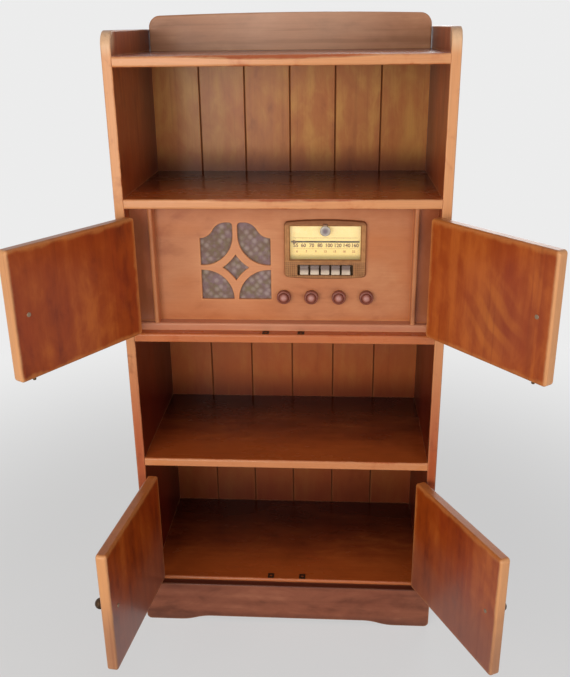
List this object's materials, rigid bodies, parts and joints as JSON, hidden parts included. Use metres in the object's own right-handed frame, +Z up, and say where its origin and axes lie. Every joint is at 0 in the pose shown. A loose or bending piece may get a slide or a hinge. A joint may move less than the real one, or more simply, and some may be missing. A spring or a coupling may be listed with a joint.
{
  "type": "bookcase",
  "caption": "Tall wooden bookcase with open bays, a pushbutton radio in a panel behind upper doors, a cabinet with doors below, a low crest and a shaped apron.",
  "frame": {"origin": "Middle of the bookcase's back at floor level, on the rear face of the back boards.", "axes": "+X to the right seen from the front, +Y to the back (out of the wall face), +Z up; the front faces -Y."},
  "size_m": [1.0318, 0.7134, 1.441],
  "materials": {
    "case_wood": "satin brown stain worn pale along the edges",
    "board_wood": "satin stain, lighter than the case",
    "door_wood": "satin orange-brown stain with figured grain",
    "radio_wood": "satin stain, paler than the case",
    "hinge_brass": "dull and darkened by age",
    "door_knob": "dark antique finish",
    "grille_cloth": "mottled grey-mauve weave",
    "escutcheon": "antique bronze with dark rim",
    "boss_silver": "bright, slightly worn",
    "dial_glass": "clear",
    "dial_cream": "cream, slightly mottled",
    "pointer": "dark paint",
    "button_ivory": "glossy ivory",
    "control_knob": "reddish-brown moulded gloss",
    "shaft_steel": "machined",
    "chassis_steel": "plated",
    "transformer_black": "satin black",
    "tube_glass": "clear bulbs on dark bases",
    "cone_paper": "dark pressed paper"
  },
  "bodies": {
    "case": {"left_side": "case_wood", "right_side": "case_wood", "top_shelf": "case_wood", "upper_shelf": "case_wood", "radio_shelf": "case_wood", "middle_shelf": "case_wood", "bottom_shelf": "case_wood", "crest_rail": "case_wood", "base_apron": "case_wood", "back_board_1": "board_wood", "back_board_2": "board_wood", "back_board_3": "board_wood", "back_board_4": "board_wood", "back_board_5": "board_wood", "back_board_6": "board_wood", "radio_panel": "radio_wood", "stop_sill": "radio_wood", "left_bead": "radio_wood", "right_bead": "radio_wood", "left_stile": "radio_wood", "right_stile": "radio_wood", "case_hinges": "hinge_brass", "strike_plates": "hinge_brass", "grille_cloth": "grille_cloth", "escutcheon": "escutcheon", "dial_boss": "boss_silver", "dial_glass": "dial_glass", "dial_plate": "dial_cream", "chassis": "chassis_steel", "speaker_basket": "chassis_steel", "power_transformer": "transformer_black", "speaker_magnet": "transformer_black", "radio_tubes": "tube_glass", "speaker_cone": "cone_paper"},
    "upper_left_door": {"upper_left_door": "door_wood", "upper_left_door_knob": "door_knob", "upper_left_door_fittings": "hinge_brass"},
    "upper_right_door": {"upper_right_door": "door_wood", "upper_right_door_knob": "door_knob", "upper_right_door_fittings": "hinge_brass"},
    "lower_left_door": {"lower_left_door": "door_wood", "lower_left_door_knob": "door_knob", "lower_left_door_fittings": "hinge_brass"},
    "lower_right_door": {"lower_right_door": "door_wood", "lower_right_door_knob": "door_knob", "lower_right_door_fittings": "hinge_brass"},
    "volume_control": {"volume_knob": "control_knob", "volume_shaft": "shaft_steel"},
    "tone_control": {"tone_knob": "control_knob", "tone_shaft": "shaft_steel"},
    "band_control": {"band_knob": "control_knob", "band_shaft": "shaft_steel"},
    "tuning_control": {"tuning_knob": "control_knob", "tuning_shaft": "shaft_steel"},
    "station_button_1": {"station_button_1": "button_ivory"},
    "station_button_2": {"station_button_2": "button_ivory"},
    "station_button_3": {"station_button_3": "button_ivory"},
    "station_button_4": {"station_button_4": "button_ivory"},
    "station_button_5": {"station_button_5": "button_ivory"},
    "pointer": {"dial_pointer": "pointer"}
  },
  "joints": [
    {"name": "upper_left_door_hinge", "type": "hinge", "parent": "case", "child": "upper_left_door", "pos_m": [-0.33175, -0.383, 0.90925], "axis": [0, 0, -1], "range_deg": [-121.5, 58.5]},
    {"name": "upper_right_door_hinge", "type": "hinge", "parent": "case", "child": "upper_right_door", "pos_m": [0.33175, -0.383, 0.90925], "axis": [0, 0, 1], "range_deg": [-126.5, 53.5]},
    {"name": "lower_left_door_hinge", "type": "hinge", "parent": "case", "child": "lower_left_door", "pos_m": [-0.33175, -0.383, 0.2675], "axis": [0, 0, -1], "range_deg": [-97, 83]},
    {"name": "lower_right_door_hinge", "type": "hinge", "parent": "case", "child": "lower_right_door", "pos_m": [0.33175, -0.383, 0.2675], "axis": [0, 0, 1], "range_deg": [-116, 64]},
    {"name": "volume_turn", "type": "hinge", "parent": "case", "child": "volume_control", "pos_m": [0.00005, -0.3255, 0.843], "axis": [0, 1, 0], "range_deg": [0, 300]},
    {"name": "tone_turn", "type": "hinge", "parent": "case", "child": "tone_control", "pos_m": [0.06135, -0.3255, 0.843], "axis": [0, 1, 0], "range_deg": [-150, 150]},
    {"name": "band_turn", "type": "hinge", "parent": "case", "child": "band_control", "pos_m": [0.12265, -0.3255, 0.843], "axis": [0, 1, 0], "range_deg": [-30, 30]},
    {"name": "tuning_turn", "type": "hinge", "parent": "case", "child": "tuning_control", "pos_m": [0.18395, -0.3255, 0.843], "axis": [0, 1, 0], "range_deg": [0, 900]},
    {"name": "pointer_slide", "type": "slide", "parent": "case", "child": "pointer", "axis": [1, 0, 0], "range_m": [0, 0.13]},
    {"name": "station_button_1_press", "type": "slide", "parent": "case", "child": "station_button_1", "axis": [0, 1, 0], "range_m": [0, 0.004], "stiffness_N_per_m": 400},
    {"name": "station_button_2_press", "type": "slide", "parent": "case", "child": "station_button_2", "axis": [0, 1, 0], "range_m": [0, 0.004], "stiffness_N_per_m": 400},
    {"name": "station_button_3_press", "type": "slide", "parent": "case", "child": "station_button_3", "axis": [0, 1, 0], "range_m": [0, 0.004], "stiffness_N_per_m": 400},
    {"name": "station_button_4_press", "type": "slide", "parent": "case", "child": "station_button_4", "axis": [0, 1, 0], "range_m": [0, 0.004], "stiffness_N_per_m": 400},
    {"name": "station_button_5_press", "type": "slide", "parent": "case", "child": "station_button_5", "axis": [0, 1, 0], "range_m": [0, 0.004], "stiffness_N_per_m": 400}
  ],
  "couplings": [
    {"joint": "pointer_slide", "follows": "tuning_turn", "m_per_rad": 0.008275}
  ]
}
